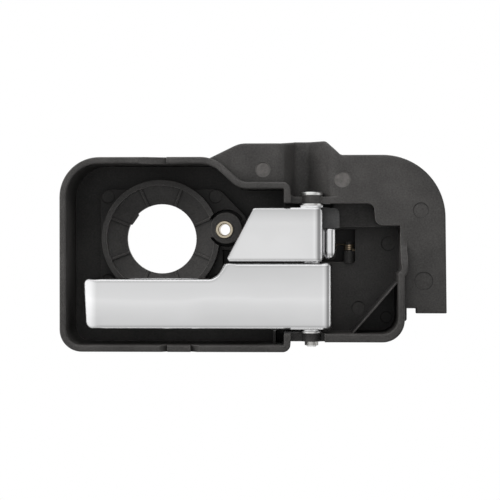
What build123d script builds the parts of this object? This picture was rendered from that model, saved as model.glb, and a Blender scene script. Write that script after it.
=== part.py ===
from build123d import *
import os
from math import cos, radians, sin, tan

# A car's interior door handle: a moulded pan with a chromed release lever and a chromed lock button,
# which share one upright pivot pin.
# Millimetres. X runs to the right as the driver sees the handle, Y runs into the door and Z is up.
# The origin is on the axis of the fixing sleeve, at its seat on the door panel.
# A height h is measured from that seat towards the driver, so it is -Y.

# Fits
RUNNING = 0.05
AXIAL = 0.1
SEAT_GAP = 0.1
ROOM = 0.8

# Pan: its inner outline, walls and floors
RIM_H = 34.0
WALL = 3.0
FLOOR = 2.5
RIM_ROUND = 0.9
TROUGH_H = 4.0
POCKET_H = 10.0
PAN_LEFT = -70.6
PAN_TOP = 29.6
PAN_BOTTOM = -52.2
PAN_TOP_ROUND = 15.0
PAN_LOW_ROUND = 7.0
SHOULDER_START = -5.0
SHOULDER_END = 7.3
SHOULDER_Z = 18.3
SHOULDER_ROUND = 12.8
SHOULDER_HOLLOW = 10.0
LUG_LEFT = 27.6
CEILING = 11.8
GROUND = -46.9
NECK_X = 68.4
NECK_LEAN = 0.6
NECK_ROUND = 3.2
NECK_HOLLOW = 3.6
POCKET_TOP = 1.8
POCKET_RIGHT = 80.2
POCKET_JOG = 1.4
JOG_Z = -18.4
TIGHT = 0.5

# Snap ramps in the rim: X of the shallow end, X of the deep end and depth
TOP_RAMPS = [(-37.9, -25.2, 4.5)]
LOW_RAMPS = [(-28.4, -24.8, 3.5), (-10.1, -14.4, 3.5)]

# Pivot pin and what is stacked on it
PIVOT_X = 40.1
PIVOT_H = 24.5
PIN_R = 2.5
PIN_HEAD_R = 5.0
PIN_HEAD_T = 1.4
PIN_HEAD_EDGE = 0.6
LUG_T = 3.8
LUG_R = 5.0
LOW_LUG_RIGHT = 46.0
LUG_HOLLOW = 2.0
WASHER_T = 0.8
WASHER_R = 5.5
COLLAR_T = 0.75
RETAINER_R = 3.1
RETAINER_T = 1.8
RETAINER_SLOTS = 6
RETAINER_SLOT_W = 0.8
RETAINER_SLOT_DEPTH = 1.1
PIN_TAIL = 0.7

# Back plate, with a scoop that gives room round the pin's head
PLATE_H = 27.0
PLATE_T = 2.5
PLATE_LEFT = -9.0
PLATE_LEFT_Z = 31.1
PLATE_BEND_X = 7.4
PLATE_RIGHT = 100.3
PLATE_LEAN = 0.9
PLATE_TOP = 39.1
PLATE_CREST = 40.3
PLATE_RISE_X = 26.0
PLATE_CREST_LEFT = 32.5
PLATE_CREST_RIGHT = 46.6
PLATE_SHOULDER = 33.8
PLATE_SHOULDER_X = 53.3
PLATE_FOOT = -38.0
PLATE_NOTCH_X = 87.2
PLATE_NOTCH = 2.3
PLATE_ROUND = 28.5
PLATE_BEND_ROUND = 12.0
PLATE_RISE_ROUND = 5.0
PLATE_CREST_ROUND = 2.5
PLATE_EDGE = 1.0
SCOOP_DEPTH = 11.5
SCOOP_LEFT = 26.0
SCOOP_RIGHT = 50.3
SCOOP_WALL = 6.0
SCOOP_FLOOR = 7.0
SCOOP_ROUND = 4.0
SCOOP_RAMP_ROUND = 5.0

# The rim drops to the plate along the upper lug and ramps up again beside the pocket
RAMP_TOP = -4.0

# Ring for a round switch, on a raised platform
RING_X = -29.7
RING_Z = -4.25
RING_H = 15.0
RING_R = 27.3
RING_T = 2.5
DISH_H = 11.5
SWITCH_H = 7.5
SWITCH_R = 16.2
PLATFORM_H = 8.5
PLATFORM_W = 57.2
PLATFORM_D = 46.4
PLATFORM_ROUND = 5.0
DISH_RIBS = 8
DISH_RIB_T = 1.0
DISH_RIB_H = 0.9

# Screw boss and the metal sleeve in it
BOSS_H = 13.8
BOSS_R = 7.2
BOSS_X = 0.75
BOSS_Z = 0.7
SLEEVE_R = 4.2
SLEEVE_BORE_R = 2.6
SLEEVE_H = 14.3
SLEEVE_LEAD = 0.4
MOAT_R = 8.7
MOAT_WALL = 1.5
MOAT_WEB = 8.5
WEB_X = -2.4
WEB_Z = 18.6
WEB_ROUND = 3.0
WEB_ANGLE = 48.0

# Ejector marks: X, Z and radius on the plate, on the pocket floor and in the pocket's lowered corner
MARK_DEPTH = 0.3
PLATE_MARKS = [(18.0, 27.2, 3.3), (54.0, 22.7, 3.5), (89.4, 8.6, 3.5), (90.8, -23.3, 4.1)]
POCKET_MARKS = [(62.0, -36.4, 3.1), (75.9, -6.5, 3.3)]
LOW_MARKS = [(75.0, -40.7, 2.6)]
CORNER_MARK_R = 3.1
CORNER_MARK_IN = 3.4

# Pocket at the right: its shelf, and the well for the lock's cam and spring
SHELF_H = 16.5
SHELF_X = 50.0
SHELF_Z = 1.2
WELL_LEFT = 33.5
WELL_RIGHT = 60.4
WELL_FOOT = -15.0
WELL_STEP = 0.2
WELL_TOP = 10.2
WELL_FLOOR_H = 1.5
WELL_WALL = 1.5
WELL_LIP = 2.8

# Pocket at the right: its thin slanted rib, the step outside its wall, and the gusset in the trough
RIB_T = 0.7
RIB_H = 28.0
RIB_RIGHT_Z = -23.9
RIB_FOOT_X = 59.0
CORNER_DROP = 1.2
STEP_T = 1.3
STEP_FOOT = -41.5
STEP_ROUND = 1.2
GUSSET_X = 22.7
GUSSET_T = 1.2
GUSSET_H = 24.0
GUSSET_REACH = 6.0

# Lever
LEVER_LEFT = -63.8
LEVER_LEAN = 1.4
LEVER_RIGHT = 49.6
LEVER_TOP = -15.15
LEVER_BOTTOM = -45.25
GRIP_TOP = -22.1
LEVER_H = 32.5
LEVER_BACK_H = 24.0
LEVER_CROWN = 160.0
LEVER_EDGE = 1.8
LEVER_BACK_EDGE = 1.0
LEVER_ROLL = 9.0
LEVER_ROLL_DROP = 3.0
THROAT_ROUND = 6.5
LEVER_TIP_ROUND = 2.5
LEVER_NECK_ROUND = 2.0
LEVER_LOW_ROUND = 3.6
LEVER_HEEL_ROUND = 2.6
HUB_R = 6.3
COLUMN_R = 4.4
HORN_X = 48.25
HORN_R = 3.3
HORN_H = 27.6
HORN_FOOT = -13.9
HORN_WEB = 2.0
SPRING_ROOM_TOP = -25.2
SPRING_ROOM_FOOT = -35.6
SPRING_ROOM_R = 5.2
SPRING_ROOM_RIGHT = 48.2
ARM_Z = -40.0
ARM_T = 4.0
ARM_W = 7.0
PULL_TRAVEL = 36.0

# Lock button and its crank
PADDLE_LEFT = 13.9
PADDLE_RIGHT = 45.3
PADDLE_SLANT = 0.516
PADDLE_H = 32.3
PADDLE_BACK_H = 29.5
PADDLE_WALL = 1.6
PADDLE_SIDE = 1.8
PADDLE_EDGE = 1.1
PADDLE_ROUND = 2.2
PADDLE_CORNER = 1.3
PADDLE_ROLL = 6.3
PADDLE_ROLL_DROP = 0.5
SEAM = 0.7
EYE_T = 0.9
EYE_R = 5.0
CARRIER_T = 2.5
CARRIER_GAP = 0.3
CARRIER_STEP_X = 33.5
PEG_R = 1.4
PEG_GAP = 0.1
PEG_HEAD_R = 2.3
PEG_HEAD_T = 0.9
PEG_HEAD_TAPER = 30.0
PEG_PLACES = [(10.0, -9.0), (27.0, -9.0), (22.0, 5.0)]
CRANK_FOOT = 0.6
HUB_GAP = 0.4
CRANK_HUB_R = 5.0
CRANK_EAR_RIGHT = 52.8
CRANK_EAR_H = 23.0
CRANK_EAR_T = 5.5
CRANK_EAR_ROUND = 2.5
CRANK_ARM_LEFT = 35.8
CRANK_ARM_W = 5.4
CRANK_ARM_T = 5.6
CRANK_WEB_W = 3.6
LOCK_TRAVEL = 16.0

# Cables: the height of their line, the seats on the arms and the abutments on the housing
CABLE_H = -4.0
NIPPLE_R = 1.7
CABLE_SLOT = 1.6
ARM_END_R = 3.9
ABUTMENT_X = 66.0
ABUTMENT_T = 3.0
ABUTMENT_W = 13.0
ABUTMENT_BEYOND = 4.5
ABUTMENT_SLOT = 5.0
ABUTMENT_MOUTH = 4.2
ABUTMENT_ROUND = 3.0
BUTTRESS_T = 2.0
BUTTRESS_REACH = 8.0
BUTTRESS_END = 2.0

# Lever return spring
RETURN_WIRE = 1.2
RETURN_R = 4.0
RETURN_PITCH = 1.4
RETURN_TURNS = 5
RETURN_FOOT_Z = -34.6
RETURN_LEG = 7.2
RETURN_TAIL = 13.0
RETURN_STOP_T = 2.0
RETURN_STOP_H = 17.0
RETURN_STOP_W = 5.0

# Lock detent spring, the post that carries it and the cam that it presses on
DETENT_WIRE = 0.8
DETENT_R = 2.0
DETENT_PITCH = 0.9
DETENT_TURNS = 3
DETENT_X = 57.6
DETENT_FOOT_Z = -9.5
DETENT_SLOPE = 15.0
DETENT_LEG = 14.6
DETENT_TAIL = 5.0
CAM_T = 2.6
CAM_LEAD = 3.0
POST_R = 1.5
POST_FOOT_R = 2.4
WIRE_SIDES = 6

# Rubber bump stop on the edge of the release slot
BUMP_T = 1.9
BUMP_W = 5.0
BUMP_LIP = 1.5
BUMP_REACH = 3.5

# Worked-out places
FAR = 300.0
BORE_R = PIN_R + RUNNING
FLOOR_BACK_H = POCKET_H - FLOOR
TROUGH_BACK_H = TROUGH_H - FLOOR
LUG_TOP = CEILING + LUG_T
LUG_FOOT = GROUND - LUG_T
PAN_LOW_RIGHT = POCKET_RIGHT - POCKET_JOG
EYE_TOP = CEILING - 2 * AXIAL - WASHER_T
PADDLE_TOP = EYE_TOP - EYE_T
PADDLE_BOTTOM = LEVER_TOP + SEAM
CRANK_TOP = PADDLE_TOP - AXIAL
KNUCKLE_TOP = CRANK_FOOT - HUB_GAP
COLLAR_FOOT = LEVER_BOTTOM - COLLAR_T
CARRIER_H = PADDLE_H - PADDLE_WALL
CRANK_MID_Z = (CRANK_FOOT + CRANK_TOP) / 2
CRANK_ARM_X = CRANK_ARM_LEFT + CRANK_ARM_W / 2
CRANK_ARM_FOOT = CRANK_MID_Z - CRANK_ARM_T / 2
WELL_BACK_H = WELL_FLOOR_H - WELL_WALL
CRANK_ROOM_RIGHT = (
    PIVOT_X
    + (CRANK_ARM_LEFT + CRANK_ARM_W - PIVOT_X) * cos(radians(LOCK_TRAVEL))
    + (PIVOT_H - WELL_BACK_H) * sin(radians(LOCK_TRAVEL))
    + ROOM
)
DETENT_H = FLOOR_BACK_H + DETENT_R - DETENT_WIRE / 2 - SEAT_GAP
SLOT_RIGHT = PIVOT_X + ARM_W / 2 + SEAT_GAP + BUMP_T
SLOT_LEFT = (
    PIVOT_X
    - (PIVOT_H - TROUGH_BACK_H) * tan(radians(PULL_TRAVEL))
    - ARM_W / 2 / cos(radians(PULL_TRAVEL))
    - ROOM
)
PIVOT = (PIVOT_X, -PIVOT_H)
BOSS = (BOSS_X, BOSS_Z)
RING_AXIS = Axis((RING_X, 0, RING_Z), (0, 1, 0))

# The detent wire's line, and the two flats of the cam that it lies on in turn
DETENT_AWAY = Vector(sin(radians(DETENT_SLOPE)), cos(radians(DETENT_SLOPE)))
DETENT_ALONG = Vector(-cos(radians(DETENT_SLOPE)), sin(radians(DETENT_SLOPE)))
DETENT_START = Vector(DETENT_X, -DETENT_H) + DETENT_AWAY * DETENT_R
FLAT_R = (DETENT_START - Vector(*PIVOT)).dot(DETENT_AWAY) - DETENT_WIRE / 2 - SEAT_GAP
FREE_FLAT = 90.0 - DETENT_SLOPE
LOCKED_FLAT = FREE_FLAT + LOCK_TRAVEL
DETENT_LEG_Z = DETENT_FOOT_Z + (DETENT_TURNS - DETENT_SLOPE / 360) * DETENT_PITCH


def front(h):
    """Plane that faces the driver, h above the seat: its x is X and its y is Z."""
    return Plane.XZ.offset(h)


def level(z):
    """Horizontal plane at height z: its x is X and its y is Y."""
    return Plane.XY.offset(z)


def upright(x):
    """Plane across the handle at x: its x is Y and its y is Z."""
    return Plane.YZ.offset(x)


def radial(angle):
    """Plane through the ring's axis: its x is the radius and its y is h."""
    turn = radians(angle)
    return Plane(
        origin=(RING_X, 0, RING_Z),
        x_dir=(cos(turn), 0, sin(turn)),
        z_dir=(sin(turn), 0, -cos(turn)),
    )


def outline(corners):
    """Face inside a closed polyline, each corner given as x, y and its own radius."""
    with BuildSketch() as sketch:
        with BuildLine():
            FilletPolyline(
                *[(x, y) for x, y, _ in corners],
                radius=[r for _, _, r in corners],
                close=True,
            )
        make_face()
    return sketch.sketch_local


def block(left, right, foot, top):
    """Rectangle between two x values and two y values."""
    with BuildSketch() as sketch:
        with Locations(((left + right) / 2, (foot + top) / 2)):
            Rectangle(right - left, top - foot)
    return sketch.sketch_local


def slant_x(z):
    """Left edge that the lock button and the lever's neck share."""
    return PADDLE_LEFT - PADDLE_SLANT * (PADDLE_TOP - z)


def on_flat(angle, along, inward=0.0):
    """Point on a flat of the cam, square to the radius at that angle from the pivot."""
    across = Vector(cos(radians(angle)), sin(radians(angle)))
    beside = Vector(-sin(radians(angle)), cos(radians(angle)))
    return Vector(*PIVOT) + across * (FLAT_R - inward) + beside * along


def pan(ground):
    """Corners of the pan's outline, with its lower right part down to that height."""
    return [
        (PAN_LEFT, PAN_TOP, PAN_TOP_ROUND),
        (SHOULDER_START, PAN_TOP, SHOULDER_ROUND),
        (SHOULDER_END, SHOULDER_Z, SHOULDER_HOLLOW),
        (LUG_LEFT, SHOULDER_Z, TIGHT),
        (LUG_LEFT, CEILING, TIGHT),
        (NECK_X, CEILING, NECK_ROUND),
        (NECK_X + NECK_LEAN, POCKET_TOP, NECK_HOLLOW),
        (POCKET_RIGHT, POCKET_TOP, TIGHT),
        (POCKET_RIGHT, JOG_Z, TIGHT),
        (PAN_LOW_RIGHT, JOG_Z - POCKET_JOG, TIGHT),
        (PAN_LOW_RIGHT, ground, PAN_LOW_ROUND),
        (LUG_LEFT, ground, TIGHT),
        (LUG_LEFT, PAN_BOTTOM, TIGHT),
        (PAN_LEFT, PAN_BOTTOM, PAN_LOW_ROUND),
    ]


CAVITY = pan(GROUND)
SHELL = pan(LUG_FOOT + WALL)

PLATE = [
    (PLATE_LEFT, PLATE_LEFT_Z, 0),
    (PLATE_BEND_X, PLATE_TOP, PLATE_BEND_ROUND),
    (PLATE_RISE_X, PLATE_TOP, PLATE_RISE_ROUND),
    (PLATE_CREST_LEFT, PLATE_CREST, PLATE_CREST_ROUND),
    (PLATE_CREST_RIGHT, PLATE_CREST, PLATE_CREST_ROUND),
    (PLATE_SHOULDER_X, PLATE_SHOULDER, PLATE_CREST_ROUND),
    (PLATE_RIGHT, PLATE_SHOULDER, PLATE_ROUND),
    (PLATE_RIGHT + PLATE_LEAN, PLATE_FOOT, TIGHT),
    (PLATE_NOTCH_X, PLATE_FOOT, TIGHT),
    (PLATE_NOTCH_X, PLATE_FOOT + PLATE_NOTCH, TIGHT),
    (PAN_LOW_RIGHT, PLATE_FOOT + PLATE_NOTCH, TIGHT),
    (PAN_LOW_RIGHT, RING_Z, TIGHT),
    (PLATE_LEFT, RING_Z, TIGHT),
]

LEVER = [
    (LEVER_LEFT, GRIP_TOP, LEVER_TIP_ROUND),
    (slant_x(GRIP_TOP), GRIP_TOP, THROAT_ROUND),
    (slant_x(LEVER_TOP), LEVER_TOP, LEVER_NECK_ROUND),
    (LEVER_RIGHT, LEVER_TOP, LEVER_NECK_ROUND),
    (LEVER_RIGHT, LEVER_BOTTOM, LEVER_HEEL_ROUND),
    (LEVER_LEFT + LEVER_LEAN, LEVER_BOTTOM, LEVER_LOW_ROUND),
]

PADDLE = [
    (PADDLE_LEFT, PADDLE_TOP, PADDLE_CORNER),
    (PADDLE_RIGHT, PADDLE_TOP, PADDLE_ROUND),
    (PADDLE_RIGHT, PADDLE_BOTTOM, PADDLE_CORNER),
    (slant_x(PADDLE_BOTTOM), PADDLE_BOTTOM, PADDLE_CORNER),
]

# Back plate: a sheet with the scoop, cut to its outline
with BuildPart() as back_plate:
    with BuildSketch(front(0)):
        add(outline(PLATE))
    extrude(amount=RIM_H)
    plate_mid = PLATE_T / 2 - PLATE_H
    with BuildSketch(level(0)):
        with BuildLine():
            FilletPolyline(
                (PLATE_LEFT - WALL, plate_mid),
                (SCOOP_LEFT, plate_mid),
                (SCOOP_LEFT + SCOOP_WALL, plate_mid + SCOOP_DEPTH),
                (SCOOP_LEFT + SCOOP_WALL + SCOOP_FLOOR, plate_mid + SCOOP_DEPTH),
                (SCOOP_RIGHT, plate_mid),
                (PLATE_RIGHT + PLATE_LEAN + WALL, plate_mid),
                radius=[SCOOP_ROUND, SCOOP_ROUND, SCOOP_RAMP_ROUND, SCOOP_RAMP_ROUND],
            )
        trace(line_width=PLATE_T)
    extrude(amount=FAR, both=True, mode=Mode.INTERSECT)
    plate_edges = back_plate.edges().filter_by_position(
        Axis.Y, -PLATE_H - MARK_DEPTH, -PLATE_H + MARK_DEPTH
    )
    fillet(plate_edges.filter_by(lambda edge: edge.center().Z > PAN_TOP), PLATE_EDGE)

# Housing: pan, back plate, lugs, switch ring, screw boss and pocket in one moulding
with BuildPart() as housing:
    with BuildSketch(front(FLOOR_BACK_H)) as shell:
        add(outline(SHELL))
        offset(amount=WALL)
        fillet(shell.vertices().sort_by_distance((LUG_LEFT + WALL, CEILING + WALL))[0], LUG_HOLLOW)
    extrude(amount=RIM_H - FLOOR_BACK_H)
    with BuildSketch(front(TROUGH_BACK_H)):
        add(outline(SHELL))
        offset(amount=WALL)
        add(block(-FAR, LUG_LEFT + WALL, -FAR, FAR), mode=Mode.INTERSECT)
    extrude(amount=POCKET_H - TROUGH_H)
    add(back_plate.part)
    with BuildSketch(front(FLOOR_BACK_H)):
        add(outline([
            (POCKET_RIGHT, STEP_FOOT, 0),
            (PAN_LOW_RIGHT + WALL + STEP_T, STEP_FOOT, STEP_ROUND),
            (PAN_LOW_RIGHT + WALL + STEP_T, JOG_Z, 0),
            (POCKET_RIGHT, JOG_Z, 0),
        ]))
    extrude(amount=PLATE_H - FLOOR_BACK_H)

    # Hollow of the pan, above the shelf, above the pocket floor and above the trough floor
    with BuildSketch(front(SHELF_H)):
        add(outline(CAVITY))
    extrude(amount=RIM_H, mode=Mode.SUBTRACT)
    with BuildSketch(front(POCKET_H)):
        add(outline(CAVITY))
        add(block(SHELF_X, FAR, SHELF_Z, FAR), mode=Mode.SUBTRACT)
    extrude(amount=RIM_H, mode=Mode.SUBTRACT)
    with BuildSketch(front(TROUGH_H)):
        add(outline(CAVITY))
        add(block(-FAR, LUG_LEFT, -FAR, FAR), mode=Mode.INTERSECT)
    extrude(amount=RIM_H, mode=Mode.SUBTRACT)

    # Rounded rim, lowered to the plate along both lugs and ramped beside the pocket
    rim = housing.faces().filter_by(Axis.Y).sort_by(Axis.Y)[0]
    fillet(rim.edges(), RIM_ROUND)
    with BuildSketch(upright(LUG_LEFT + WALL)):
        with BuildLine():
            rise = Spline((-RIM_H, JOG_Z), (-PLATE_H, RAMP_TOP), tangents=[(0, 1), (0, 1)])
            Polyline(
                rise @ 1,
                (-PLATE_H, PAN_TOP),
                (-RIM_H - WALL, PAN_TOP),
                (-RIM_H - WALL, JOG_Z),
                rise @ 0,
            )
        make_face()
    extrude(amount=FAR, mode=Mode.SUBTRACT)
    with BuildSketch(front(PLATE_H)):
        add(block(LUG_LEFT + WALL, LOW_LUG_RIGHT, LUG_FOOT - WALL, GROUND + WALL))
    extrude(amount=RIM_H, mode=Mode.SUBTRACT)

    # Snap ramps in the top and bottom walls
    for ramps, wall_foot in ((TOP_RAMPS, PAN_TOP), (LOW_RAMPS, PAN_BOTTOM - WALL)):
        for shallow, deep, depth in ramps:
            with BuildSketch(level(wall_foot - TIGHT)):
                with BuildLine():
                    Polyline(
                        (shallow, -RIM_H),
                        (deep, depth - RIM_H),
                        (deep, -RIM_H - WALL),
                        (shallow, -RIM_H - WALL),
                        close=True,
                    )
                make_face()
            extrude(amount=WALL + 2 * TIGHT, mode=Mode.SUBTRACT)

    # Platform of the switch ring with a web to the screw boss, hollow at the back
    moat_outer = MOAT_R + MOAT_WALL
    with BuildSketch(front(TROUGH_BACK_H)):
        with Locations((RING_X, RING_Z)):
            RectangleRounded(PLATFORM_W, PLATFORM_D, PLATFORM_ROUND)
        with Locations(BOSS):
            Circle(moat_outer)
        add(outline([
            (RING_X, WEB_Z, 0),
            (WEB_X, WEB_Z, WEB_ROUND),
            (BOSS_X + moat_outer * cos(radians(WEB_ANGLE)), BOSS_Z + moat_outer * sin(radians(WEB_ANGLE)), 0),
            (BOSS_X, BOSS_Z, 0),
        ]))
    extrude(amount=PLATFORM_H - TROUGH_BACK_H)
    with BuildSketch(front(0)):
        with Locations((RING_X, RING_Z)):
            RectangleRounded(PLATFORM_W - 2 * FLOOR, PLATFORM_D - 2 * FLOOR, PLATFORM_ROUND - FLOOR)
        with Locations(BOSS):
            Circle(moat_outer, mode=Mode.SUBTRACT)
    extrude(amount=PLATFORM_H - FLOOR, mode=Mode.SUBTRACT)
    with BuildSketch(front(0)):
        with Locations((RING_X, RING_Z)):
            Circle(RING_R - RING_T)
    extrude(amount=RIM_H, mode=Mode.SUBTRACT)

    # Ring wall and the dished seat inside it
    ring_inner = RING_R - RING_T
    with BuildSketch(radial(0)):
        with BuildLine():
            Polyline(
                (SWITCH_R, SWITCH_H - FLOOR),
                (SWITCH_R, SWITCH_H),
                (ring_inner, DISH_H),
                (ring_inner, RING_H),
                (RING_R, RING_H),
                (RING_R, TROUGH_BACK_H),
                (ring_inner, TROUGH_BACK_H),
                (ring_inner, DISH_H - FLOOR),
                close=True,
            )
        make_face()
    revolve(axis=RING_AXIS)
    for index in range(DISH_RIBS):
        with BuildSketch(radial((index + 0.5) * 360 / DISH_RIBS)):
            with BuildLine():
                Polyline(
                    (SWITCH_R, SWITCH_H - DISH_RIB_H),
                    (SWITCH_R, SWITCH_H + DISH_RIB_H),
                    (ring_inner + RING_T / 2, DISH_H + 2 * DISH_RIB_H),
                    (ring_inner + RING_T / 2, DISH_H - DISH_RIB_H),
                    close=True,
                )
            make_face()
        extrude(amount=DISH_RIB_T / 2, both=True)

    # Screw boss, where the ring's wall is lowered, between the two halves of its moat
    with BuildSketch(front(DISH_H)):
        with Locations(BOSS):
            Circle(MOAT_R)
    extrude(amount=RIM_H, mode=Mode.SUBTRACT)
    with BuildSketch(front(TROUGH_BACK_H)):
        with Locations(BOSS):
            Circle(moat_outer)
    extrude(amount=PLATFORM_H - TROUGH_BACK_H)
    with BuildSketch(front(TROUGH_H)):
        with Locations(BOSS):
            Circle(MOAT_R)
        add(block(-FAR, FAR, BOSS_Z - MOAT_WEB / 2, BOSS_Z + MOAT_WEB / 2), mode=Mode.SUBTRACT)
    extrude(amount=RIM_H, mode=Mode.SUBTRACT)
    with BuildSketch(front(0)):
        with Locations(BOSS):
            Circle(BOSS_R)
    extrude(amount=BOSS_H)
    with BuildSketch(front(-FLOOR)):
        Circle(SLEEVE_R)
    extrude(amount=RIM_H, mode=Mode.SUBTRACT)

    # Pocket: well behind the floor, with a slot in its back for the crank's arm
    with BuildSketch(front(WELL_BACK_H)):
        add(block(
            WELL_LEFT - WELL_WALL,
            WELL_RIGHT + WELL_LIP + WELL_WALL,
            WELL_FOOT - WELL_WALL,
            WELL_STEP + WELL_WALL,
        ))
        add(block(
            WELL_LEFT - WELL_WALL,
            CRANK_ROOM_RIGHT + WELL_WALL,
            WELL_FOOT,
            WELL_TOP + WELL_WALL,
        ))
    extrude(amount=POCKET_H - WELL_BACK_H)
    with BuildSketch(front(WELL_FLOOR_H)):
        add(block(WELL_LEFT, WELL_RIGHT, WELL_FOOT, WELL_STEP))
        add(block(WELL_LEFT, CRANK_ROOM_RIGHT, WELL_FOOT, WELL_TOP))
    extrude(amount=SHELF_H, mode=Mode.SUBTRACT)
    with BuildSketch(front(WELL_FLOOR_H)):
        add(block(WELL_LEFT, WELL_RIGHT + WELL_LIP, WELL_FOOT, WELL_STEP))
    extrude(amount=FLOOR_BACK_H - WELL_FLOOR_H, mode=Mode.SUBTRACT)
    with BuildSketch(front(WELL_BACK_H)):
        add(block(
            CRANK_ARM_LEFT - ROOM,
            CRANK_ROOM_RIGHT,
            CRANK_ARM_FOOT - ROOM,
            CRANK_ARM_FOOT + CRANK_ARM_T + ROOM,
        ))
    extrude(amount=WELL_WALL, mode=Mode.SUBTRACT)

    # Pocket: slot for the release arm, hollow behind the shelf
    with BuildSketch(front(0)):
        arm_room = ARM_T / 2 + ROOM
        add(block(SLOT_LEFT, SLOT_RIGHT, ARM_Z - arm_room, ARM_Z + arm_room))
    extrude(amount=POCKET_H + FLOOR, mode=Mode.SUBTRACT)
    with BuildSketch(front(0)):
        add(outline(CAVITY))
        add(block(SHELF_X + FLOOR, FAR, SHELF_Z + FLOOR, FAR), mode=Mode.INTERSECT)
    extrude(amount=SHELF_H - FLOOR, mode=Mode.SUBTRACT)

    # Pocket: lowered corner behind a thin slanted rib
    with BuildSketch(front(POCKET_H - CORNER_DROP)):
        add(outline(CAVITY))
        with BuildLine():
            Polyline(
                (RIB_FOOT_X, GROUND),
                (PAN_LOW_RIGHT, RIB_RIGHT_Z),
                (PAN_LOW_RIGHT + WALL, GROUND - WALL),
                close=True,
            )
        make_face(mode=Mode.INTERSECT)
    extrude(amount=RIM_H, mode=Mode.SUBTRACT)
    with BuildSketch(front(FLOOR_BACK_H)):
        with BuildLine():
            Line((RIB_FOOT_X - WALL / 2, GROUND - WALL / 2), (PAN_LOW_RIGHT, RIB_RIGHT_Z))
        trace(line_width=RIB_T)
    extrude(amount=RIB_H - FLOOR_BACK_H)
    with BuildSketch(front(TROUGH_BACK_H)):
        add(block(GUSSET_X, GUSSET_X + GUSSET_T, PAN_BOTTOM - WALL / 2, PAN_BOTTOM + GUSSET_REACH))
    extrude(amount=GUSSET_H - TROUGH_BACK_H)

    # Round bosses of the two lugs, and the pin's bores through them
    for lug_z in (CEILING, LUG_FOOT):
        with BuildSketch(level(lug_z)):
            with Locations(PIVOT):
                Circle(LUG_R)
        extrude(amount=LUG_T)
    with BuildSketch(level(LUG_FOOT - WALL)):
        with Locations(PIVOT):
            Circle(BORE_R)
    extrude(amount=LUG_TOP - LUG_FOOT + 2 * WALL, mode=Mode.SUBTRACT)

    # Stop for the return spring's tail
    stop_right = PIVOT_X - RETURN_R - RETURN_WIRE / 2 - SEAT_GAP
    with BuildSketch(front(FLOOR_BACK_H)):
        add(
            block(
                stop_right - RETURN_STOP_T,
                stop_right,
                RETURN_FOOT_Z - RETURN_STOP_W / 2,
                RETURN_FOOT_Z + RETURN_STOP_W / 2,
            )
        )
    extrude(amount=RETURN_STOP_H - FLOOR_BACK_H)

    # Post on the well's lower wall, with a wider foot that carries the detent spring
    post_seat = DETENT_FOOT_Z - DETENT_WIRE / 2 - SEAT_GAP
    with BuildSketch(level(WELL_FOOT - TIGHT)):
        with Locations((DETENT_X, -DETENT_H)):
            Circle(POST_FOOT_R)
    extrude(amount=post_seat - WELL_FOOT + TIGHT)
    with BuildSketch(level(post_seat)):
        with Locations((DETENT_X, -DETENT_H)):
            Circle(POST_R)
    extrude(amount=(DETENT_TURNS + 1) * DETENT_PITCH + DETENT_WIRE)

    # Cable abutments behind the pocket, each with its buttresses
    for seat_z, root_h in ((ARM_Z, POCKET_H - FLOOR / 2), (CRANK_MID_Z, SHELF_H - FLOOR / 2)):
        abutment_end = CABLE_H - ABUTMENT_BEYOND
        with BuildSketch(upright(ABUTMENT_X)):
            add(outline([
                (-root_h, seat_z - ABUTMENT_W / 2, 0),
                (-abutment_end, seat_z - ABUTMENT_W / 2, ABUTMENT_ROUND),
                (-abutment_end, seat_z + ABUTMENT_W / 2, ABUTMENT_ROUND),
                (-root_h, seat_z + ABUTMENT_W / 2, 0),
            ]))
            with Locations((-CABLE_H, seat_z)):
                Circle(ABUTMENT_SLOT / 2, mode=Mode.SUBTRACT)
            add(
                block(
                    -CABLE_H,
                    -abutment_end + WALL,
                    seat_z - ABUTMENT_MOUTH / 2,
                    seat_z + ABUTMENT_MOUTH / 2,
                ),
                mode=Mode.SUBTRACT,
            )
        extrude(amount=ABUTMENT_T)
        for side in (-1, 1):
            buttress_z = seat_z + side * (ABUTMENT_W - BUTTRESS_T) / 2
            with BuildSketch(level(buttress_z - BUTTRESS_T / 2)):
                with BuildLine():
                    Polyline(
                        (ABUTMENT_X + ABUTMENT_T / 2, -root_h),
                        (ABUTMENT_X + ABUTMENT_T + BUTTRESS_REACH, -root_h),
                        (ABUTMENT_X + ABUTMENT_T + BUTTRESS_REACH, -FLOOR_BACK_H),
                        (ABUTMENT_X + ABUTMENT_T, -abutment_end - BUTTRESS_END),
                        (ABUTMENT_X + ABUTMENT_T / 2, -abutment_end - BUTTRESS_END),
                        close=True,
                    )
                make_face()
            extrude(amount=BUTTRESS_T)

    # The pocket stays clear of the abutments behind its floor
    with BuildSketch(front(POCKET_H)):
        add(block(ABUTMENT_X - WALL, POCKET_RIGHT - WALL, CRANK_MID_Z - ABUTMENT_W, SHELF_Z))
    extrude(amount=SHELF_H - POCKET_H, mode=Mode.SUBTRACT)

    # Ejector marks
    corner_h = POCKET_H - CORNER_DROP
    for marks, floor_h in ((PLATE_MARKS, PLATE_H), (POCKET_MARKS, POCKET_H), (LOW_MARKS, corner_h)):
        with BuildSketch(front(floor_h - MARK_DEPTH)):
            for x, z, r in marks:
                with Locations((x, z)):
                    Circle(r)
        extrude(amount=MARK_DEPTH * 2, mode=Mode.SUBTRACT)
    with BuildSketch(front(PLATFORM_H - MARK_DEPTH)):
        with Locations((RING_X, RING_Z)):
            with GridLocations(
                PLATFORM_W - 2 * CORNER_MARK_IN, PLATFORM_D - 2 * CORNER_MARK_IN, 2, 2
            ):
                Circle(CORNER_MARK_R)
    extrude(amount=MARK_DEPTH * 2, mode=Mode.SUBTRACT)

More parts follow.
